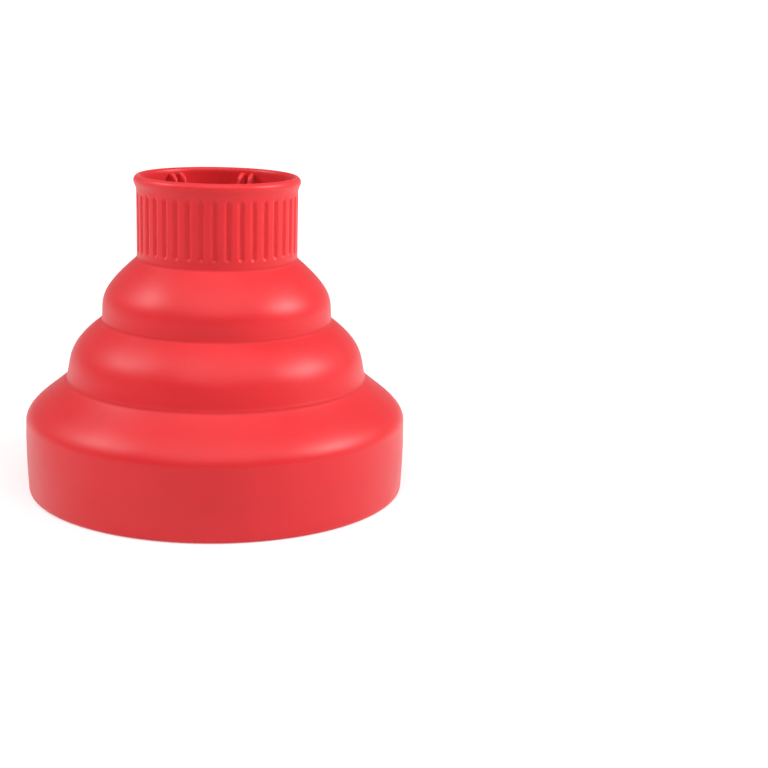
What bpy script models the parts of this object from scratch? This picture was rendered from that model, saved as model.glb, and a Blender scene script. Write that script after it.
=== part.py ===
"""Folding dryer diffuser, standing on its wide skirt, stretched to full height.

Metres, +Z up, origin at the bottom centre.  The soft body is cut at its fold lines
into rigid bands and thin folding webs, so that each band can slide on its own.
"""
import math
import bpy
import numpy as np

MM = 0.001

# driving dimensions, in millimetres
SKIRT_R = 75.0          # skirt outside radius
SKIRT_H = 28.8          # top of the upright skirt wall
SKIRT_T = 3.0           # skirt wall thickness
SKIRT_TOP = 30.2        # where the skirt wall ends and the shoulder begins
SHOULDER_TOP = 43.3     # where the shoulder ends, just under its crease
RING_T = 2.6            # thickness of the two ring walls
WEB_T = 2.0             # thickness of the folding webs
GAP = 0.3               # gap between pieces that touch
RIM_Z = 124.0           # top of the neck
NECK_R = 31.2           # neck outside radius
BORE_R = 29.3           # neck inside radius
LIP_R = 32.3            # lip outside radius
GROOVES = 39            # grooves around the neck, which leave ribs between them
GROOVE_DEEP = 0.75
GROOVE_HALF = 1.55      # half the width of a groove
GROOVE_LOW, GROOVE_TOP = 97.0, 117.0
SLEEVE_Z = 95.9         # bottom of the neck's ribbed sleeve
RIB_START = 2.7         # degrees from the front to the middle of the first rib
FIN_PAIRS = 6
FIN_START = 24.5        # degrees from the back to the first pair of grip fins
FIN_T = 1.4             # grip fin thickness
FIN_STEP = 2.15         # half the distance between the fins of a pair
PLATE_R = 73.0          # face plate radius
PLATE_LOW, PLATE_TOP = 13.0, 15.5
HOLE_ROWS = ((13.0, 6, 0.0), (38.0, 18, 0.0), (62.0, 30, 0.0))
HOLE_R = 2.6
FINGER_ROWS = ((26.0, 6, 30.0), (50.0, 12, 15.0))
FINGER_R = 3.6
FINGER_LOW = 2.0
SEG = 60
SEG_NECK = 4 * GROOVES

# outside curve of each soft part: end, lean of the first handle from upright, its
# length, far end, slope of the last handle from level, its length
SHOULDER = (74.73, 28.7, 16.6, 5.8, 60.50, 43.37, 40.8, 6.0)
DOME_2 = (58.81, 45.5, 15.4, 7.1, 46.11, 66.8, 36.8, 16.0)
DOME_1 = (44.89, 69.14, 5.6, 6.3, 32.41, 90.88, 41.2, 18.9)
FOLD_2 = 52.0           # height at which the second dome rolls over when folded
FOLD_1 = 73.6           # the same for the first dome


def curve(spec, n):
    """Cubic through a part's two ends; returns n points of radius and height."""
    r0, z0, lean, h0, r3, z3, slope, h3 = spec
    a, b = math.radians(lean), math.radians(slope)
    p0 = np.array((r0, z0))
    p3 = np.array((r3, z3))
    p1 = p0 + h0 * np.array((-math.sin(a), math.cos(a)))
    p2 = p3 + h3 * np.array((math.cos(b), -math.sin(b)))
    t = np.linspace(0.0, 1.0, n)[:, None]
    return (1 - t) ** 3 * p0 + 3 * t * (1 - t) ** 2 * p1 + 3 * t * t * (1 - t) * p2 + t ** 3 * p3


def stretch(points, low, high, n):
    """The stretch of a curve between two heights, as n evenly spaced points."""
    step = np.hypot(*np.diff(points, axis=0).T)
    s = np.concatenate(((0.0,), np.cumsum(step)))
    ends = np.interp((low, high), points[:, 1], s)
    at = np.linspace(ends[0], ends[1], n)
    return np.column_stack((np.interp(at, s, points[:, 0]), np.interp(at, s, points[:, 1])))


def wall(points, thick):
    """Closed outline of a wall: the outside curve and the same curve set inwards."""
    d = np.gradient(points, axis=0)
    d /= np.hypot(d[:, 0], d[:, 1])[:, None]
    inner = points + thick * np.column_stack((-d[:, 1], d[:, 0]))
    return np.vstack((points, inner[::-1]))


def material(name, colour, rough):
    mat = bpy.data.materials.new(name)
    mat.use_nodes = True
    node = mat.node_tree.nodes["Principled BSDF"]
    node.inputs["Base Color"].default_value = (*colour, 1.0)
    node.inputs["Roughness"].default_value = rough
    mat.diffuse_color = (*colour, 1.0)
    return mat


def add_mesh(name, verts, faces, mat):
    mesh = bpy.data.meshes.new(name)
    mesh.from_pydata([tuple(v) for v in verts], [], faces)
    mesh.materials.append(mat)
    obj = bpy.data.objects.new(name, mesh)
    bpy.context.scene.collection.objects.link(obj)
    return obj


def ring(name, outline, mat, seg=SEG, shape=None):
    """Turn a closed outline (radius, height; up the outside, down the inside) around Z."""
    n = len(outline)
    turn = np.radians(RIB_START - 90.0) + np.arange(seg) * 2 * math.pi / seg
    r = np.tile(outline[:, 0], (seg, 1))
    z = np.tile(outline[:, 1], (seg, 1))
    if shape is not None:
        r = shape(r, z, turn[:, None])
    xyz = np.stack((r * np.cos(turn)[:, None], r * np.sin(turn)[:, None], z), axis=-1)
    faces = []
    for i in range(seg):
        k = (i + 1) % seg
        for j in range(n):
            m = (j + 1) % n
            faces.append((i * n + j, k * n + j, k * n + m, i * n + m))
    return add_mesh(name, xyz.reshape(-1, 3) * MM, faces, mat)


def clear():
    for obj in list(bpy.data.objects):
        bpy.data.objects.remove(obj, do_unlink=True)


def skirt(mat):
    top = curve(SHOULDER, 60)
    corner = stretch(top, SKIRT_H, SKIRT_TOP, 2)
    inside = SKIRT_R - SKIRT_T
    outer = np.vstack(((71.4, 0.0), (73.6, 0.0), (74.3, 0.7), (74.7, 4.0),
                       (SKIRT_R, 12.0), (74.7, 26.5), corner))
    inner = np.array(((inside, 27.6), (inside, PLATE_TOP + GAP), (PLATE_R + GAP, PLATE_TOP + GAP),
                      (PLATE_R + GAP, PLATE_LOW - GAP), (71.6, PLATE_LOW - GAP),
                      (71.8, 8.0), (71.1, 0.7)))
    return ring("skirt_wall", np.vstack((outer, inner)), mat)


def soft_parts(mat):
    shoulder = curve(SHOULDER, 60)
    two = curve(DOME_2, 60)
    one = curve(DOME_1, 60)
    ring("shoulder_web", wall(stretch(shoulder, SKIRT_TOP + GAP, SHOULDER_TOP, 7), WEB_T), mat)
    crease = np.array(((59.5, 44.2), (59.1, 44.8)))
    ring("ring_2_wall", wall(np.vstack((crease, stretch(two, 45.6, FOLD_2, 3))), RING_T), mat)
    ring("dome_2_web", wall(stretch(two, FOLD_2 + GAP, 66.7, 8), WEB_T), mat)
    crease = np.array(((45.3, 67.2), (45.0, 67.9)))
    ring("ring_1_wall", wall(np.vstack((crease, stretch(one, 69.2, FOLD_1, 3))), RING_T), mat)
    ring("dome_1_web", wall(stretch(one, FOLD_1 + GAP, 90.8, 9), WEB_T), mat)


def grooves(r, z, turn):
    """Set the outside of the neck in along each groove, in half a cosine across it."""
    share = (turn - turn[0, 0]) * GROOVES / (2 * math.pi) - 0.5
    across = np.abs(share - np.round(share)) * 2 * math.pi * NECK_R / GROOVES
    deep = GROOVE_DEEP * (0.5 + 0.5 * np.cos(math.pi * np.minimum(across / GROOVE_HALF, 1.0)))
    here = (z > GROOVE_LOW) & (z < GROOVE_TOP) & (r > NECK_R - 0.3)
    return r - np.where(here, deep, 0.0)


def neck(mat):
    foot = np.array(((29.9, 91.4), (31.9, 91.5), (31.4, 92.2), (NECK_R, 93.2)))
    top = SLEEVE_Z - GAP
    ring("neck_foot", np.vstack((foot, ((NECK_R, top), (BORE_R, top), (BORE_R, 92.6)))), mat)
    outer = np.array(((BORE_R, SLEEVE_Z), (NECK_R, SLEEVE_Z), (NECK_R, 97.6), (NECK_R, 116.0),
                      (NECK_R, 118.2), (31.5, 119.6), (LIP_R, 121.8), (32.0, 123.0),
                      (31.1, RIM_Z)))
    inner = np.array(((29.9, RIM_Z), (BORE_R, 123.0)))
    ring("neck_sleeve", np.vstack((outer, inner)), mat, SEG_NECK, grooves)


def fins(mat):
    """Twelve wedge-shaped grip fins in six pairs on the inside of the neck."""
    out = BORE_R - 0.45
    side = np.array(((out, 97.0), (23.0, 97.0), (22.0, 98.5), (22.0, 103.0),
                     (22.8, 110.0), (25.4, 121.2), (out, 122.2)))
    n = len(side)
    for pair in range(FIN_PAIRS):
        a = math.radians(90.0 - (FIN_START + pair * 360.0 / FIN_PAIRS))
        along = np.array((math.cos(a), math.sin(a)))
        across = np.array((-math.sin(a), math.cos(a)))
        for mark, sign in (("a", 1.0), ("b", -1.0)):
            verts = []
            for off in (sign * FIN_STEP - FIN_T / 2, sign * FIN_STEP + FIN_T / 2):
                for u, z in side:
                    x, y = u * along + off * across
                    verts.append((x * MM, y * MM, z * MM))
            faces = [tuple(range(n)), tuple(reversed(range(n, 2 * n)))]
            faces += [(i, n + i, n + (i + 1) % n, (i + 1) % n) for i in range(n)]
            obj = add_mesh("grip_fin_%d%s" % (pair + 1, mark), verts, faces, mat)
            face_out(obj)


def face_out(obj):
    """Turn a small closed mesh's faces outwards by the sign of its volume."""
    mesh = obj.data
    vol = 0.0
    for poly in mesh.polygons:
        v = [mesh.vertices[i].co for i in poly.vertices]
        for i in range(1, len(v) - 1):
            vol += v[0].dot(v[i].cross(v[i + 1]))
    if vol < 0:
        mesh.flip_normals()


def plate(mat):
    """Rigid face plate, a turned disc with rows of air holes cut through it."""
    mid = (PLATE_LOW + PLATE_TOP) / 2
    outline = np.array(((PLATE_R - 0.4, PLATE_LOW), (PLATE_R, PLATE_LOW + 0.4),
                        (PLATE_R, PLATE_TOP - 0.4), (PLATE_R - 0.4, PLATE_TOP)))
    turn = np.arange(SEG) * 2 * math.pi / SEG
    verts = [(r * math.cos(t) * MM, r * math.sin(t) * MM, z * MM)
             for r, z in outline for t in turn]
    faces = [tuple(reversed(range(SEG))), tuple(range(3 * SEG, 4 * SEG))]
    for j in range(3):
        for i in range(SEG):
            k = (i + 1) % SEG
            faces.append((j * SEG + i, j * SEG + k, (j + 1) * SEG + k, (j + 1) * SEG + i))
    disc = add_mesh("face_plate", verts, faces, mat)
    verts, faces, n = [], [], 10
    for radius, count, start in HOLE_ROWS:
        for h in range(count):
            a = math.radians(start + h * 360.0 / count)
            base = len(verts)
            for z in (mid - 3.0, mid + 3.0):
                for i in range(n):
                    t = 2 * math.pi * i / n
                    verts.append(((radius * math.cos(a) + HOLE_R * math.cos(t)) * MM,
                                  (radius * math.sin(a) + HOLE_R * math.sin(t)) * MM, z * MM))
            faces.append(tuple(base + i for i in reversed(range(n))))
            faces.append(tuple(base + n + i for i in range(n)))
            for i in range(n):
                k = (i + 1) % n
                faces.append((base + i, base + k, base + n + k, base + n + i))
    holes = add_mesh("cut_air_holes", verts, faces, mat)
    holes.hide_render = True
    holes.display_type = "WIRE"
    cut = disc.modifiers.new("air_holes", "BOOLEAN")
    cut.operation = "DIFFERENCE"
    cut.solver = "EXACT"
    cut.object = holes


def fingers(mat):
    """Short tapered fingers under the plate, each a turned solid with a round tip."""
    n = 10
    top = PLATE_LOW - GAP
    side = ((FINGER_R, top), (FINGER_R * 0.76, 5.0), (FINGER_R * 0.68, 3.4),
            (FINGER_R * 0.46, 2.4))
    number = 0
    for radius, count, start in FINGER_ROWS:
        for h in range(count):
            number += 1
            a = math.radians(start + h * 360.0 / count)
            cx, cy = radius * math.cos(a), radius * math.sin(a)
            verts = [((cx + r * math.cos(2 * math.pi * i / n)) * MM,
                      (cy + r * math.sin(2 * math.pi * i / n)) * MM, z * MM)
                     for r, z in side for i in range(n)]
            verts.append((cx * MM, cy * MM, FINGER_LOW * MM))
            faces = [tuple(range(n))]
            for j in range(len(side) - 1):
                for i in range(n):
                    k = (i + 1) % n
                    faces.append((j * n + i, (j + 1) * n + i, (j + 1) * n + k, j * n + k))
            low = (len(side) - 1) * n
            faces += [(low + i, len(verts) - 1, low + (i + 1) % n) for i in range(n)]
            face_out(add_mesh("finger_%02d" % number, verts, faces, mat))


def main():
    clear()
    soft = material("silicone", (0.80, 0.055, 0.060), 0.55)
    hard = material("face_plastic", (0.72, 0.045, 0.050), 0.42)
    skirt(soft)
    soft_parts(soft)
    neck(soft)
    fins(soft)
    plate(hard)
    fingers(hard)
    bpy.context.view_layer.update()


main()
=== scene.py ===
"""A folding dryer diffuser in moulded silicone, standing stretched on a pale floor.

All shapes are worked out in millimetres and put into the meshes in metres.
"""
import math

import bpy
import numpy as np
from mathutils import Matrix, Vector


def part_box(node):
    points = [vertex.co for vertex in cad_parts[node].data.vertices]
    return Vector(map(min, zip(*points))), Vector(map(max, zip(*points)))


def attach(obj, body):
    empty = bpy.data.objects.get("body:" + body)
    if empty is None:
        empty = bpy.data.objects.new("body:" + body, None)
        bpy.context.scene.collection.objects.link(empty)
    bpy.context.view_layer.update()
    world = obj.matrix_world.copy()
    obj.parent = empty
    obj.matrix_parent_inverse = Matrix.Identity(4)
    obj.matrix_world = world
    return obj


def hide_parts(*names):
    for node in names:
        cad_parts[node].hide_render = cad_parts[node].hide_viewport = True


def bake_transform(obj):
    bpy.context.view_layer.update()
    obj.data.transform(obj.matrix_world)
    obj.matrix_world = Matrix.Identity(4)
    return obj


bl_info = {
    "name": "Folding dryer diffuser",
    "version": (1, 0, 0),
    "blender": (4, 5, 0),
    "location": "3D View > Sidebar > Diffuser",
    "description": "Builds a folding silicone dryer diffuser piece by piece",
    "category": "Add Mesh",
}

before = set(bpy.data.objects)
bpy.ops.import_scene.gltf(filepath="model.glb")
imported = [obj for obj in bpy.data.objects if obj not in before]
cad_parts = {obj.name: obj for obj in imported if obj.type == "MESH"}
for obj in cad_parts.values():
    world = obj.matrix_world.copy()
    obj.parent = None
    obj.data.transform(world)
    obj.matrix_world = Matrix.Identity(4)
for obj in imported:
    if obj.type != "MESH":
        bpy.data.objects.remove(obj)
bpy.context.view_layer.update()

MM = 0.001
NECK_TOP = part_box("neck_sleeve")[1].z / MM
PLATE_LOW, PLATE_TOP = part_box("face_plate")[0].z / MM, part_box("face_plate")[1].z / MM
PLATE_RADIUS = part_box("face_plate")[1].x / MM

AROUND = 288            # columns round a turned piece
NECK_AROUND = 624       # columns round the grooved neck, 16 to a groove
PLATE_AROUND = 180      # columns round the face plate
PITCH = 0.5             # spacing of the rows along a profile
GAP = 0.3               # gap between pieces that touch
WALL = 2.0              # thickness of the folding walls
SKIRT_SKIN = 1.25       # thickness that each side of the skirt's wall is given
SKIRT_FULL = 27.0       # height above which the wall grows from that skin to its full thickness
NECK_RADIUS = 31.2      # outside of the neck
BORE_RADIUS = 29.3      # inside of the neck
LIP_RADIUS = 32.3
FIN_PAIRS = 6
FIN_START = 24.5        # degrees from the back to the first pair of grip fins

# Outside curves of the soft body: lower end (radius, height), lean of the first handle
# from upright and its length, upper end, slope of the last handle from level and its length.
SKIRT_SIDE = (74.35, 1.0, -3.5, 9.0, 74.80, 28.5, 88.5, 9.0)
SHOULDER = (74.80, 28.7, 8.0, 5.2, 60.50, 43.37, 40.8, 9.0)
DOME_2 = (58.81, 45.5, 15.4, 7.1, 46.11, 66.8, 36.8, 16.0)
DOME_1 = (44.89, 69.14, 5.6, 6.3, 32.41, 90.88, 41.2, 18.9)
CREASE_2 = (59.15, 44.6)
CREASE_1 = (45.1, 67.6)
NECK_CREASE = (31.3, 91.95)
CREASE_REACH = 0.7      # how far the painted crease shade and the duller gloss reach on each side of a crease

# Heights where one piece ends and the next begins, just above each crease.
SEAM_2 = 46.4
SEAM_1 = 69.6
NECK_SEAM = 93.6

# Heights between which each fold turns over.
DOME_2_FOLD = (51.6, 67.6)
DOME_1_FOLD = (73.0, 92.0)

# Rows of the face plate: radius, number in the row, angle of the first in degrees.
HOLE_ROWS = ((13.0, 6, 0.0), (38.0, 18, 0.0), (62.0, 30, 0.0))
FINGER_ROWS = ((26.0, 6, 30.0), (50.0, 12, 15.0))
HOLE_REACH = 7.0        # how far a row of holes reaches to each side of its radius

# Lights: name, place in metres, side of the square in metres, watts.
LIGHTS = (("soft_box_left", (-0.61, -0.02, 0.57), 0.25, 3.2),
          ("soft_box_right", (0.66, -0.11, 0.49), 0.27, 4.8),
          ("top_light", (0.0, -0.55, 0.97), 1.10, 8.3))
LIGHT_AIM = (0.0, 0.0, 0.07)
CAMERA_PLACE = (0.0015, -0.5829, 0.1869)
CAMERA_TURN = (76.010, -1.607, -6.013)      # degrees about X, Y and Z


# ---------------------------------------------------------------- colours and nodes

def linear(code):
    """An sRGB hex colour as linear red, green and blue."""
    parts = [int(code[i:i + 2], 16) / 255 for i in (1, 3, 5)]
    return tuple(c / 12.92 if c <= 0.04045 else ((c + 0.055) / 1.055) ** 2.4 for c in parts)


def add_node(tree, kind, settings=None, inputs=None):
    """Add one node, set its own settings, and fill or link its inputs."""
    node = tree.nodes.new(kind)
    for key, value in (settings or {}).items():
        setattr(node, key, value)
    for key, value in (inputs or {}).items():
        if isinstance(value, bpy.types.NodeSocket):
            tree.links.new(value, node.inputs[key])
        else:
            node.inputs[key].default_value = value
    return node


def new_material(name):
    """An empty node material, made afresh."""
    old = bpy.data.materials.get(name)
    if old is not None:
        bpy.data.materials.remove(old)
    mat = bpy.data.materials.new(name)
    mat.use_nodes = True
    mat.node_tree.nodes.clear()
    return mat


def moulded(name, colour, rough, grain_mm, grain_depth, sheen, soft_depth):
    """A moulded matte skin: slightly uneven colour, a fine spark-eroded grain and soft waves."""
    mat = new_material(name)
    tree = mat.node_tree
    place = add_node(tree, "ShaderNodeTexCoord").outputs["Object"]
    # cloudy pigment, in patches of about 9 mm
    cloud = add_node(tree, "ShaderNodeTexNoise", None,
                     {"Vector": place, "Scale": 1 / 0.009, "Detail": 3.0, "Roughness": 0.5})
    deep = tuple(c * 0.93 for c in colour)
    tint = add_node(tree, "ShaderNodeMix", {"data_type": "RGBA"},
                    {"Factor": cloud.outputs["Fac"], "A": (*deep, 1.0), "B": (*colour, 1.0)})
    # the fold lines between the domes are duller, and a little darker: painted shade in the
    # creases
    fold = add_node(tree, "ShaderNodeAttribute", {"attribute_name": "fold_line"})
    # painted shade: the colour in the creases falls to 0.80 of the silicone colour
    painted_crease_shade = add_node(tree, "ShaderNodeMix", {"data_type": "RGBA"},
                     {"Factor": fold.outputs["Fac"], "A": tint.outputs["Result"],
                      "B": (*(c * 0.80 for c in colour), 1.0)})
    # mould grain, which is really about 0.1 mm wide, drawn coarser so that it shows
    grain = add_node(tree, "ShaderNodeTexNoise", None,
                     {"Vector": place, "Scale": 1000 / grain_mm, "Detail": 2.0,
                      "Roughness": 0.55})
    wave = add_node(tree, "ShaderNodeTexNoise", None,
                    {"Vector": place, "Scale": 1 / 0.014, "Detail": 1.0})
    low = add_node(tree, "ShaderNodeBump", None,
                   {"Height": wave.outputs["Fac"], "Strength": 0.35, "Distance": 0.00025})
    fine = add_node(tree, "ShaderNodeBump", None,
                    {"Height": grain.outputs["Fac"], "Strength": 0.5, "Distance": grain_depth,
                     "Normal": low.outputs["Normal"]})
    # handled places shine a little more, in patches of about 20 mm
    patch = add_node(tree, "ShaderNodeTexNoise", None,
                     {"Vector": place, "Scale": 1 / 0.020, "Detail": 4.0})
    gloss = add_node(tree, "ShaderNodeMapRange", None,
                     {"Value": patch.outputs["Fac"], "From Min": 0.3, "From Max": 0.7,
                      "To Min": rough - 0.04, "To Max": rough + 0.05})
    dull = add_node(tree, "ShaderNodeMapRange", None,
                    {"Value": fold.outputs["Fac"], "To Min": gloss.outputs["Result"],
                     "To Max": 0.9})
    skin = add_node(tree, "ShaderNodeBsdfPrincipled", None,
                    {"Base Color": painted_crease_shade.outputs["Result"], "Roughness": dull.outputs["Result"],
                     "Normal": fine.outputs["Normal"], "IOR": 1.41})
    skin.inputs["Specular IOR Level"].default_value = 0.55
    skin.inputs["Sheen Weight"].default_value = sheen
    skin.inputs["Sheen Roughness"].default_value = 0.4
    skin.inputs["Subsurface Weight"].default_value = soft_depth
    skin.inputs["Subsurface Radius"].default_value = (1.0, 0.12, 0.10)
    skin.inputs["Subsurface Scale"].default_value = 0.0022
    add_node(tree, "ShaderNodeOutputMaterial", None, {"Surface": skin.outputs["BSDF"]})
    return mat


def silicone(thin=False):
    """Silicone rubber, compression moulded in a spark-eroded mould: a dry, even matte skin
    with a weak broad gloss, a little pale bloom at grazing angles, and light that sinks in.
    Where the wall is thin, as in the neck, more light comes through it."""
    name = "thin_silicone_rubber" if thin else "moulded_silicone_rubber"
    finish = bpy.context.scene.diffuser_finish
    return bpy.data.materials.get(name) or moulded(
        name, tuple(finish.silicone_colour), finish.silicone_roughness,
        grain_mm=0.45, grain_depth=0.00003, sheen=0.21, soft_depth=0.5 if thin else 0.15)


def face_plastic():
    """Glass-filled nylon, injection moulded: harder and a little glossier than the body."""
    name = "injection_moulded_nylon"
    finish = bpy.context.scene.diffuser_finish
    return bpy.data.materials.get(name) or moulded(
        name, tuple(finish.plate_colour), finish.plate_roughness,
        grain_mm=0.6, grain_depth=0.00004, sheen=0.0, soft_depth=0.0)


# ---------------------------------------------------------------- profiles

def arc_lengths(points):
    """Distance along a line of points, from its start to each point."""
    return np.concatenate(((0.0,), np.cumsum(np.hypot(*np.diff(points, axis=0).T))))


def spaced(points, spacing):
    """The same line with its points evenly spaced, near the given spacing."""
    along = arc_lengths(points)
    at = np.linspace(0.0, along[-1], max(2, int(round(along[-1] / spacing)) + 1))
    return np.column_stack([np.interp(at, along, points[:, i]) for i in (0, 1)])


def rounded(points, reach, spacing=PITCH):
    """A line with its corners rounded: each point becomes the mean of its neighbours,
    weighted by a bell curve of the given reach; the two ends stay where they are."""
    step = 0.1
    fine = spaced(np.asarray(points, float), step)
    k = int(4 * reach / step)
    bell = np.exp(-0.5 * (np.arange(-k, k + 1) * step / reach) ** 2)
    bell /= bell.sum()
    longer = np.vstack((2 * fine[0] - fine[k:0:-1], fine, 2 * fine[-1] - fine[-2:-k - 2:-1]))
    smooth = np.column_stack([np.convolve(longer[:, i], bell, "valid") for i in (0, 1)])
    return spaced(smooth, spacing)


def curve(spec, count=60):
    """Cubic curve: the sum of its four points, each times its Bernstein weight."""
    r0, z0, lean, h0, r3, z3, slope, h3 = spec
    a, b = math.radians(lean), math.radians(slope)
    p0, p3 = np.array((r0, z0)), np.array((r3, z3))
    p1 = p0 + h0 * np.array((-math.sin(a), math.cos(a)))
    p2 = p3 + h3 * np.array((math.cos(b), -math.sin(b)))
    t = np.linspace(0.0, 1.0, count)[:, None]
    return (1 - t) ** 3 * p0 + 3 * t * (1 - t) ** 2 * p1 + 3 * t * t * (1 - t) * p2 + t ** 3 * p3


def soft_profile():
    """Outside of the soft body from the skirt's inner groove, round the rim, and up over the
    shoulder and both domes to the foot of the neck."""
    groove = PLATE_RADIUS + GAP
    skirt = ((72.0, 26.6), (72.0, PLATE_TOP + GAP), (groove, PLATE_TOP + GAP),
             (groove, PLATE_LOW - GAP), (71.6, PLATE_LOW - GAP), (71.8, 8.0), (71.1, 1.0),
             (71.4, 0.0), (73.4, 0.0), (74.1, 0.4))
    line = np.vstack((skirt, curve(SKIRT_SIDE), curve(SHOULDER), (CREASE_2,),
                      curve(DOME_2), (CREASE_1,), curve(DOME_1), (NECK_CREASE,),
                      ((NECK_RADIUS, 93.4), (NECK_RADIUS, 95.0))))
    return rounded(line, reach=0.22, spacing=0.1)


def stretch(line, low, high):
    """The stretch of the soft profile between two heights, with both ends exact. A low of
    None takes it from its start. Heights are looked up where the line only rises."""
    along = arc_lengths(line)
    up_skirt = 20.0
    rising = len(line) - 1 - np.argmax(line[::-1, 1] <= up_skirt)
    start = 0.0 if low is None else np.interp(low, line[rising:, 1], along[rising:])
    end = np.interp(high, line[rising:, 1], along[rising:])
    at = np.linspace(start, end, int(round((end - start) / PITCH)) + 1)
    return np.column_stack([np.interp(at, along, line[:, i]) for i in (0, 1)])


# ---------------------------------------------------------------- surfaces

def turned(path, around):
    """A path of radius and height turned round the axis: column i is the path at angle
    2 pi i / around, so a point is (r cos, r sin, z)."""
    turn = np.arange(around) * 2 * math.pi / around
    r, z = path[None, :, 0], path[None, :, 1]
    return np.stack((r * np.cos(turn)[:, None], r * np.sin(turn)[:, None],
                     np.broadcast_to(z, (around, len(path)))), axis=-1)


def grid_faces(columns, rows, close_rows=False, first=0):
    """Four-sided faces of a grid that is closed round its columns, facing outwards where the
    path rises."""
    i = np.arange(columns)[:, None]
    j = np.arange(rows if close_rows else rows - 1)[None, :]
    k, m = (i + 1) % columns, (j + 1) % rows
    corners = (i * rows + j, k * rows + j, k * rows + m, i * rows + m)
    return first + np.stack([np.broadcast_to(c, (columns, j.size)) for c in corners],
                            axis=-1).reshape(-1, 4)


def welded(verts, faces):
    """Points in the same place made one, by sorting their rounded places."""
    _, first, back = np.unique(np.round(verts, 4), axis=0, return_index=True,
                               return_inverse=True)
    faces = back.reshape(-1)[faces]
    short = (faces != np.roll(faces, 1, axis=1)).sum(axis=1) < faces.shape[1]
    whole = faces[~short].tolist()
    for face in faces[short].tolist():
        kept = list(dict.fromkeys(face))
        if len(kept) > 2:
            whole.append(kept)
    return verts[first], whole


def make_piece(name, verts, faces, mat, sharp=math.radians(40)):
    """Put points in millimetres and faces into a new smooth-shaded piece at the origin."""
    old = bpy.data.objects.get(name)
    if old is not None:
        bpy.data.objects.remove(old, do_unlink=True)
    mesh = bpy.data.meshes.new(name)
    mesh.from_pydata(np.asarray(verts).reshape(-1, 3) * MM, [],
                     faces if isinstance(faces, list) else faces.tolist())
    mesh.materials.append(mat)
    mesh.shade_smooth()
    if sharp is not None:
        mesh.set_sharp_from_angle(angle=sharp)
    mesh.update()
    piece = bpy.data.objects.new(name, mesh)
    bpy.context.scene.collection.objects.link(piece)
    return piece


def soft_sheet(name, path, thin_below=None):
    """A turned sheet that is given its wall by a live Solidify, which would keep the wall true
    if the sheet were folded. The two open edges are sharp, so that its neighbours join unseen."""
    grid = turned(path, AROUND)
    rows = len(path)
    piece = make_piece(name, grid, grid_faces(AROUND, rows), silicone(), None)
    mesh = piece.data
    ends = np.empty(len(mesh.edges) * 2, np.int32)
    mesh.edges.foreach_get("vertices", ends)
    row = ends.reshape(-1, 2) % rows
    border = (row[:, 0] == row[:, 1]) & ((row[:, 0] == 0) | (row[:, 0] == rows - 1))
    mark = mesh.attributes.get("sharp_edge") or mesh.attributes.new("sharp_edge", "BOOLEAN",
                                                                    "EDGE")
    mark.data.foreach_set("value", border)
    # 1 on a crease, falling off as a bell curve of the distance from it: the mask for the
    # painted crease shade and the duller gloss there
    away = np.min([np.hypot(*(path - crease).T) for crease in (CREASE_2, CREASE_1, NECK_CREASE)],
                  axis=0)
    fold = mesh.attributes.new("fold_line", "FLOAT", "POINT")
    fold.data.foreach_set("value", np.tile(np.exp(-(away / CREASE_REACH) ** 2), AROUND))
    wall = piece.modifiers.new("wall", "SOLIDIFY")
    wall.thickness = WALL * MM
    wall.offset = -1.0
    if thin_below is not None:
        # the thickness grows over a height of 2 mm
        thick = piece.vertex_groups.new(name="wall")
        grown = np.clip((path[:, 1] - thin_below) / 2.0, 0.0, 1.0)
        share = SKIRT_SKIN / WALL + (1 - SKIRT_SKIN / WALL) * grown
        for j, weight in enumerate(share.tolist()):
            thick.add((np.arange(AROUND) * rows + j).tolist(), weight, "REPLACE")
        wall.vertex_group = thick.name
    return piece


def neck_grooves(turn, height, sizes):
    """How far the neck is set in: half a cosine of the distance to the nearest groove's
    middle line, which is a straight run with round ends."""
    count = sizes.groove_count
    pitch = 2 * math.pi * NECK_RADIUS / count
    share = (turn - math.radians(sizes.groove_start)) * count / (2 * math.pi)
    across = (share - np.round(share)) * pitch
    width = sizes.groove_width / MM / 2
    low, high = sizes.groove_low / MM + width, sizes.groove_top / MM - width
    past = np.maximum(np.maximum(low - height, height - high), 0.0)
    away = np.minimum(np.hypot(across, past) / width, 1.0)
    return sizes.groove_depth / MM * (0.5 + 0.5 * np.cos(math.pi * away))


# ---------------------------------------------------------------- properties

def length(name, description, default):
    """A length property in metres."""
    return bpy.props.FloatProperty(name=name, description=description, default=default,
                                   min=0.0, unit="LENGTH", subtype="DISTANCE", precision=5)


def colour(name, description, code):
    """A colour property given as an sRGB hex code."""
    return bpy.props.FloatVectorProperty(name=name, description=description, size=3,
                                         subtype="COLOR", min=0.0, max=1.0,
                                         default=linear(code))


class DiffuserSizes(bpy.types.PropertyGroup):
    """Sizes of the details that do not come from the CAD model."""
    groove_count: bpy.props.IntProperty(name="Grooves", description="Grooves round the neck",
                                        default=39, min=6, max=90)
    groove_start: bpy.props.FloatProperty(name="First groove", default=-82.7,
                                          description="Angle of the first groove from +X, in "
                                                      "degrees")
    groove_depth: length("Groove depth", "How deep the grooves of the neck are", 0.00085)
    groove_width: length("Groove width", "Width of a groove with its slopes", 0.0031)
    groove_low: length("Groove bottom", "Height of the grooves' lower ends", 0.0945)
    groove_top: length("Groove top", "Height of the grooves' upper ends", 0.1178)
    fin_thickness: length("Fin thickness", "Thickness of a grip fin", 0.0014)
    fin_step: length("Fin step", "Half the distance between the fins of a pair", 0.00215)
    hole_radius: length("Hole radius", "Radius of the air holes", 0.0026)
    finger_radius: length("Finger radius", "Radius of a finger at its root", 0.0036)


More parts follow.
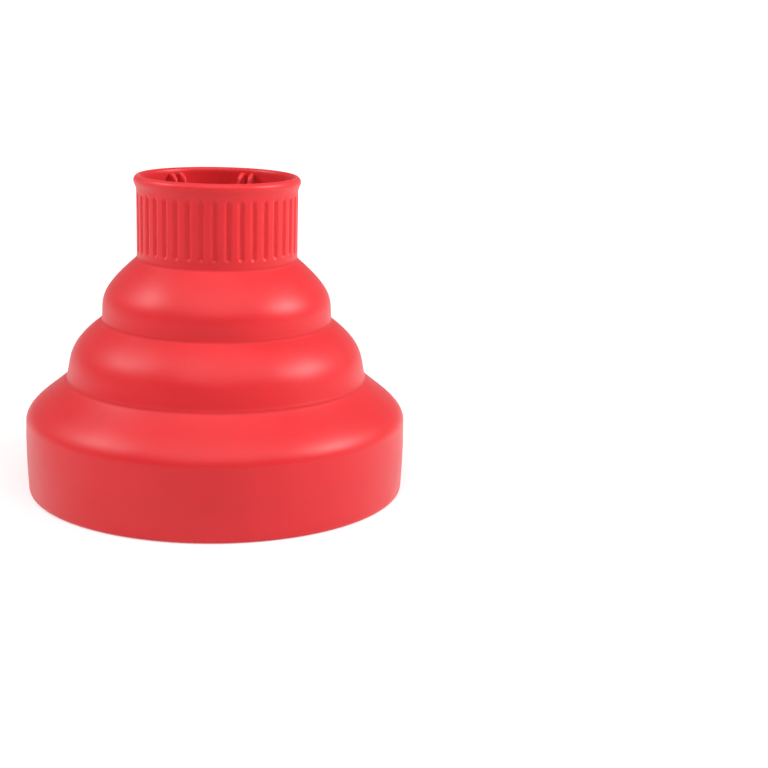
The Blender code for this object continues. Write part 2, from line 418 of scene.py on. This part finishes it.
class DiffuserFinish(bpy.types.PropertyGroup):
    """Colours and gloss."""
    silicone_colour: colour("Silicone", "Colour of the soft body", "#DD2128")
    plate_colour: colour("Face plate", "Colour of the face plate and fingers", "#CC2027")
    silicone_roughness: bpy.props.FloatProperty(
        name="Silicone roughness", description="Gloss of the soft body", default=0.45,
        min=0.0, max=1.0, subtype="FACTOR")
    plate_roughness: bpy.props.FloatProperty(
        name="Plate roughness", description="Gloss of the face plate", default=0.40,
        min=0.0, max=1.0, subtype="FACTOR")
    floor_colour: colour("Floor", "Colour of the floor", "#FBFBFB")


# ---------------------------------------------------------------- operators

class DIFFUSER_OT_skirt(bpy.types.Operator):
    """Skirt with its rolled rim and inner groove, and the shoulder that folds over it"""
    bl_idname = "diffuser.skirt"
    bl_label = "Skirt and shoulder"

    def execute(self, context):
        path = stretch(soft_profile(), None, SEAM_2)
        piece = soft_sheet("skirt_and_shoulder", path, thin_below=SKIRT_FULL)
        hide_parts("skirt_wall", "shoulder_web")
        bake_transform(piece)
        return {"FINISHED"}


class DIFFUSER_OT_domes(bpy.types.Operator):
    """The two domes, each an upright ring with a crown that rolls inwards"""
    bl_idname = "diffuser.domes"
    bl_label = "Domes"

    def execute(self, context):
        line = soft_profile()
        for name, low, high, fold, bodies, nodes in (
                ("second_dome", SEAM_2, SEAM_1, DOME_2_FOLD, ("ring_2", "ring_1"),
                 ("ring_2_wall", "dome_2_web")),
                ("first_dome", SEAM_1, NECK_SEAM, DOME_1_FOLD, ("ring_1", "neck"),
                 ("ring_1_wall", "dome_1_web"))):
            piece = soft_sheet(name, stretch(line, low, high))
            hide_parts(*nodes)
            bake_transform(piece)
        return {"FINISHED"}


class DIFFUSER_OT_neck(bpy.types.Operator):
    """Neck with a turned lip and round-ended grooves"""
    bl_idname = "diffuser.neck"
    bl_label = "Neck"

    def execute(self, context):
        sizes = context.scene.diffuser_sizes
        top = NECK_TOP
        start = stretch(soft_profile(), NECK_SEAM - 0.5, NECK_SEAM)[-1]
        outer = np.array((tuple(start), (NECK_RADIUS, 95.0), (NECK_RADIUS, 118.4),
                          (31.4, 119.5), (31.95, 120.7), (LIP_RADIUS, 121.8),
                          (32.2, 122.6), (31.8, 123.3), (31.0, top), (30.2, top),
                          (29.6, top - 0.4), (BORE_RADIUS, top - 1.4),
                          (BORE_RADIUS, 93.0)))
        path = rounded(outer, 0.3)
        grid = turned(path, NECK_AROUND)
        turn = np.arange(NECK_AROUND)[:, None] * 2 * math.pi / NECK_AROUND
        outside = np.arange(len(path)) < np.argmax(path[:, 1])
        inset = neck_grooves(turn, path[None, :, 1], sizes) * outside
        radius = np.broadcast_to(path[None, :, 0], inset.shape)
        grid[..., :2] *= ((radius - inset) / radius)[..., None]
        piece = make_piece("neck", grid, grid_faces(NECK_AROUND, len(path), True),
                           silicone(thin=True))
        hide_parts("neck_foot", "neck_sleeve")
        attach(piece, "neck")
        return {"FINISHED"}


class DIFFUSER_OT_grip_fins(bpy.types.Operator):
    """Twelve wedge-shaped fins inside the neck, in six pairs"""
    bl_idname = "diffuser.grip_fins"
    bl_label = "Grip fins"

    def execute(self, context):
        sizes = context.scene.diffuser_sizes
        half = sizes.fin_thickness / MM / 2
        step = sizes.fin_step / MM
        # inner edge of the fin: radius against height
        edge = rounded(((23.4, 96.6), (22.2, 98.2), (22.0, 99.5), (22.0, 103.0),
                        (22.8, 110.0), (25.2, 120.4), (27.2, 122.2)), 0.5, 0.6)
        rows, steps = len(edge), 9
        side = np.linspace(0.0, 1.0, steps)
        nose = np.linspace(math.pi / 2, -math.pi / 2, steps)
        root = BORE_RADIUS + 0.25
        # outline, counter-clockwise: a flared root, a flat side, a round nose, and back
        flare = np.column_stack((root - 1.5 * side, half + 1.1 * (1 - side) ** 2.5))
        # both ends are rounded over 0.7 mm, as a quarter circle, down to a thin line
        first, last = edge[0, 1], edge[-1, 1]
        share = np.clip(np.minimum(edge[:, 1] - first, last - edge[:, 1]) / 0.7, 0.0, 1.0)
        thin = np.sqrt(1 - (1 - share) ** 2) * 0.97 + 0.03
        inner = edge[:, 0]
        u = np.concatenate((np.broadcast_to(flare[:, 0], (rows, steps)),
                            inner[:, None] + half - half * np.cos(nose)[None, :],
                            np.broadcast_to(flare[::-1, 0], (rows, steps))), axis=1)
        v = np.concatenate((np.broadcast_to(flare[:, 1], (rows, steps)),
                            np.broadcast_to(half * np.sin(nose), (rows, steps)),
                            np.broadcast_to(-flare[::-1, 1], (rows, steps))), axis=1)
        v = v * thin[:, None]
        z = np.broadcast_to(edge[:, 1:2], u.shape)
        n = u.shape[1]
        faces = grid_faces(n, rows).tolist()
        faces += [list(range(0, n * rows, rows))[::-1],
                  list(range(rows - 1, n * rows, rows))]
        for pair in range(FIN_PAIRS):
            angle = math.radians(90.0 - FIN_START - pair * 360.0 / FIN_PAIRS)
            along = np.array((math.cos(angle), math.sin(angle)))
            across = np.array((-math.sin(angle), math.cos(angle)))
            for mark, sign in (("a", 1.0), ("b", -1.0)):
                w = v + sign * step
                grid = np.stack((u * along[0] + w * across[0], u * along[1] + w * across[1], z),
                                axis=-1).transpose(1, 0, 2)
                name = "%d%s" % (pair + 1, mark)
                piece = make_piece("fin_" + name, grid, faces, silicone(thin=True),
                                   math.radians(60))
                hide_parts("grip_fin_" + name)
                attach(piece, "neck")
        return {"FINISHED"}


class DIFFUSER_OT_face_plate(bpy.types.Operator):
    """Face plate with three rows of round-edged air holes"""
    bl_idname = "diffuser.face_plate"
    bl_label = "Face plate"

    def execute(self, context):
        hole = context.scene.diffuser_sizes.hole_radius / MM
        count = PLATE_AROUND
        verts, faces, base = [], [], 0
        edges = [0.0]
        for radius, number, start in HOLE_ROWS:
            edges += [radius - HOLE_REACH, radius + HOLE_REACH]
            grid = self.cells(radius, HOLE_REACH, number, start, count // number, hole)
            loops, rings = grid.shape[1:3]
            for _ in range(number):
                faces.append(grid_faces(loops, rings, False, base))
                base += loops * rings
            verts.append(grid.reshape(-1, 3))
        # plain bands between the rows, and the rim
        for low, high in zip(edges[0::2], edges[1::2]):
            r = np.linspace(low, high, max(2, int((high - low) / 3) + 1))
            for path in (np.column_stack((r[::-1], np.full(len(r), PLATE_TOP))),
                         np.column_stack((r, np.full(len(r), PLATE_LOW)))):
                verts.append(turned(path, count).reshape(-1, 3))
                faces.append(grid_faces(count, len(path), False, base))
                base += count * len(path)
        rim = np.array(((edges[-1], PLATE_LOW), (PLATE_RADIUS - 0.5, PLATE_LOW),
                        (PLATE_RADIUS - 0.15, PLATE_LOW + 0.15), (PLATE_RADIUS, PLATE_LOW + 0.5),
                        (PLATE_RADIUS, PLATE_TOP - 0.5),
                        (PLATE_RADIUS - 0.15, PLATE_TOP - 0.15), (PLATE_RADIUS - 0.5, PLATE_TOP),
                        (edges[-1], PLATE_TOP)))
        verts.append(turned(rim, count).reshape(-1, 3))
        faces.append(grid_faces(count, len(rim), False, base))
        points, whole = welded(np.vstack(verts), np.vstack(faces))
        piece = make_piece("air_face_plate", points, whole, face_plastic())
        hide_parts("face_plate")
        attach(piece, "skirt")
        return {"FINISHED"}

    @staticmethod
    def cells(radius, reach, number, start, arc, hole):
        """One hole in each sector of a ring. A point goes from the sector's border, straight
        towards the hole's middle, over the rounded lip, down the wall, and back out below."""
        side = 6
        half = math.pi / number
        sweep = np.linspace(-half, half, arc + 1)[:-1]
        inwards = np.linspace(radius + reach, radius - reach, side + 1)[:-1]
        outwards = radius - reach + np.arange(side) * 2 * reach / side
        rho = np.concatenate((np.full(arc, radius + reach), inwards,
                              np.full(arc, radius - reach), outwards))
        theta = np.concatenate((sweep, np.full(side, half), -sweep, np.full(side, -half)))
        border = np.column_stack((rho * np.cos(theta), rho * np.sin(theta)))
        away = border - (radius, 0.0)
        toward = away / np.hypot(away[:, 0], away[:, 1])[:, None]
        # each ring: share of the way to the hole, radius there, depth below the face
        round_edge = 0.5
        lip = ((round_edge, 0.0), (0.15, 0.12), (0.0, round_edge))
        rings = [(share, hole + round_edge, 0.0) for share in (0.0, 0.35, 0.7)]
        rings += [(1.0, hole + r, d) for r, d in lip]
        out_xy, out_z = [], []
        for share, r, down in rings:
            out_xy.append((1 - share) * border + share * ((radius, 0.0) + r * toward))
            out_z.append(np.full(len(border), PLATE_TOP - down))
        for share, r, down in rings[::-1]:
            out_xy.append((1 - share) * border + share * ((radius, 0.0) + r * toward))
            out_z.append(np.full(len(border), PLATE_LOW + down))
        xy, z = np.stack(out_xy, axis=1), np.stack(out_z, axis=1)
        turn = math.radians(start) + np.arange(number) * 2 * half
        c, s = np.cos(turn)[:, None, None], np.sin(turn)[:, None, None]
        # the loop runs clockwise seen from above, so it is reversed to face outwards
        xy, z = xy[::-1], z[::-1]
        return np.stack((xy[..., 0] * c - xy[..., 1] * s, xy[..., 0] * s + xy[..., 1] * c,
                         np.broadcast_to(z, (number,) + z.shape)), axis=-1)


class DIFFUSER_OT_fingers(bpy.types.Operator):
    """Short tapered fingers under the face plate"""
    bl_idname = "diffuser.fingers"
    bl_label = "Fingers"

    def execute(self, context):
        radius = context.scene.diffuser_sizes.finger_radius / MM
        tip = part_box("finger_01")[0].z / MM
        # from the tip up the side and out into the fillet at the plate
        path = rounded(((0.0, tip), (radius * 0.42, tip), (radius * 0.66, tip + 1.3),
                        (radius * 0.78, PLATE_LOW - 3.0), (radius * 0.90, PLATE_LOW - 0.9),
                        (radius * 1.30, PLATE_LOW + 0.05)), 0.35, 0.4)
        path[0, 0] = 0.02
        around = 40
        grid = turned(path, around)
        faces = grid_faces(around, len(path)).tolist()
        faces += [list(range(0, around * len(path), len(path)))[::-1],
                  list(range(len(path) - 1, around * len(path), len(path)))]
        number = 0
        for row, count, start in FINGER_ROWS:
            for k in range(count):
                number += 1
                a = math.radians(start + k * 360.0 / count)
                moved = grid + (row * math.cos(a), row * math.sin(a), 0.0)
                piece = make_piece("face_finger_%02d" % number, moved, faces, face_plastic())
                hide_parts("finger_%02d" % number)
                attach(piece, "skirt")
        return {"FINISHED"}


class DIFFUSER_OT_stage(bpy.types.Operator):
    """Pale floor, white surroundings, two soft boxes, a top light and the camera"""
    bl_idname = "diffuser.stage"
    bl_label = "Stage"

    def execute(self, context):
        scene = context.scene
        scene.view_settings.view_transform = "Standard"
        self.floor(scene)
        self.surroundings(scene)
        for name, place, size, power in LIGHTS:
            self.light(scene, name, Vector(place), size, power)
        self.camera(scene)
        return {"FINISHED"}

    @staticmethod
    def floor(scene):
        """A flat disc: rings of growing radius, all at floor level."""
        radii = np.array((4000.0, 400.0, 60.0, 8.0, 1.0, 0.05))
        around, rings = 64, len(radii)
        mesh = bpy.data.meshes.new("floor")
        grid = turned(np.column_stack((radii, np.full(rings, -0.05))), around)
        middle = list(range(rings - 1, around * rings, rings))
        faces = grid_faces(around, rings).tolist() + [middle]
        mesh.from_pydata(grid.reshape(-1, 3) * MM, [], faces)
        mat = new_material("white_paper_sweep")
        tree = mat.node_tree
        place = add_node(tree, "ShaderNodeTexCoord").outputs["Object"]
        fibre = add_node(tree, "ShaderNodeTexNoise", None,
                         {"Vector": place, "Scale": 900.0, "Detail": 4.0})
        bump = add_node(tree, "ShaderNodeBump", None,
                        {"Height": fibre.outputs["Fac"], "Strength": 0.05,
                         "Distance": 0.00005})
        tone = (*scene.diffuser_finish.floor_colour, 1.0)
        paper = add_node(tree, "ShaderNodeBsdfDiffuse", None,
                         {"Color": (0.62, 0.62, 0.62, 1.0), "Normal": bump.outputs["Normal"]})
        # the sheet is lit from behind further out, so that it runs into the white wall
        away = add_node(tree, "ShaderNodeVectorMath", {"operation": "LENGTH"}, {0: place})
        lift = add_node(tree, "ShaderNodeMapRange", {"interpolation_type": "SMOOTHSTEP"},
                        {"Value": away.outputs["Value"], "From Min": 0.14, "From Max": 1.00,
                         "To Min": 0.45, "To Max": 1.05})
        # less of it falls on the diffuser than the eye sees
        seen = add_node(tree, "ShaderNodeLightPath").outputs["Is Camera Ray"]
        share = add_node(tree, "ShaderNodeMapRange", None, {"Value": seen, "To Min": 0.75})
        strength = add_node(tree, "ShaderNodeMath", {"operation": "MULTIPLY"},
                            {0: lift.outputs["Result"], 1: share.outputs["Result"]})
        glow = add_node(tree, "ShaderNodeEmission", None,
                        {"Color": tone, "Strength": strength.outputs["Value"]})
        both = add_node(tree, "ShaderNodeAddShader")
        tree.links.new(paper.outputs[0], both.inputs[0])
        tree.links.new(glow.outputs[0], both.inputs[1])
        add_node(tree, "ShaderNodeOutputMaterial", None, {"Surface": both.outputs[0]})
        mesh.materials.append(mat)
        floor = bpy.data.objects.new("floor", mesh)
        scene.collection.objects.link(floor)

    @staticmethod
    def surroundings(scene):
        """White all round, weaker for the light that falls on things than for the eye."""
        world = bpy.data.worlds.new("white_studio")
        world.use_nodes = True
        tree = world.node_tree
        tree.nodes.clear()
        seen = add_node(tree, "ShaderNodeLightPath").outputs["Is Camera Ray"]
        strength = add_node(tree, "ShaderNodeMapRange", None,
                            {"Value": seen, "To Min": 0.10, "To Max": 1.05})
        sky = add_node(tree, "ShaderNodeBackground", None,
                       {"Color": (1.0, 1.0, 1.0, 1.0),
                        "Strength": strength.outputs["Result"]})
        add_node(tree, "ShaderNodeOutputWorld", None, {"Surface": sky.outputs[0]})
        scene.world = world

    @staticmethod
    def light(scene, name, place, size, power):
        """A square area light that faces the middle of the diffuser."""
        data = bpy.data.lights.new(name, "AREA")
        data.shape = "SQUARE"
        data.size = size
        data.energy = power
        lamp = bpy.data.objects.new(name, data)
        lamp.location = place
        aim = Vector(LIGHT_AIM) - place
        lamp.rotation_euler = aim.to_track_quat("-Z", "Y").to_euler()
        scene.collection.objects.link(lamp)

    @staticmethod
    def camera(scene):
        """A 70 mm lens, 0.6 m in front and a little above, turned so that the diffuser stands
        at the left."""
        data = bpy.data.cameras.new("camera")
        data.lens = 70.0
        data.sensor_width = 36.0
        data.clip_start = 0.01
        camera = bpy.data.objects.new("camera", data)
        camera.location = CAMERA_PLACE
        camera.rotation_euler = [math.radians(angle) for angle in CAMERA_TURN]
        scene.collection.objects.link(camera)
        scene.camera = camera


PIECE_OPERATORS = (DIFFUSER_OT_skirt, DIFFUSER_OT_domes, DIFFUSER_OT_neck,
                   DIFFUSER_OT_grip_fins, DIFFUSER_OT_face_plate, DIFFUSER_OT_fingers,
                   DIFFUSER_OT_stage)


class DIFFUSER_PT_panel(bpy.types.Panel):
    """Lists the pieces of the diffuser and their sizes"""
    bl_idname = "DIFFUSER_PT_panel"
    bl_label = "Diffuser"
    bl_space_type = "VIEW_3D"
    bl_region_type = "UI"
    bl_category = "Diffuser"

    def draw(self, context):
        column = self.layout.column()
        for group in (context.scene.diffuser_sizes, context.scene.diffuser_finish):
            for key in group.__annotations__:
                column.prop(group, key)
        for operator in PIECE_OPERATORS:
            column.operator(operator.bl_idname)


CLASSES = (DiffuserSizes, DiffuserFinish, *PIECE_OPERATORS, DIFFUSER_PT_panel)


def register():
    for cls in CLASSES:
        bpy.utils.register_class(cls)
    bpy.types.Scene.diffuser_sizes = bpy.props.PointerProperty(type=DiffuserSizes)
    bpy.types.Scene.diffuser_finish = bpy.props.PointerProperty(type=DiffuserFinish)


def unregister():
    del bpy.types.Scene.diffuser_finish
    del bpy.types.Scene.diffuser_sizes
    for cls in reversed(CLASSES):
        bpy.utils.unregister_class(cls)


def main():
    """Build every piece in order."""
    register()
    bpy.ops.diffuser.skirt()
    bpy.ops.diffuser.domes()
    bpy.ops.diffuser.neck()
    bpy.ops.diffuser.grip_fins()
    bpy.ops.diffuser.face_plate()
    bpy.ops.diffuser.fingers()
    bpy.ops.diffuser.stage()


if __name__ == "__main__":
    main()
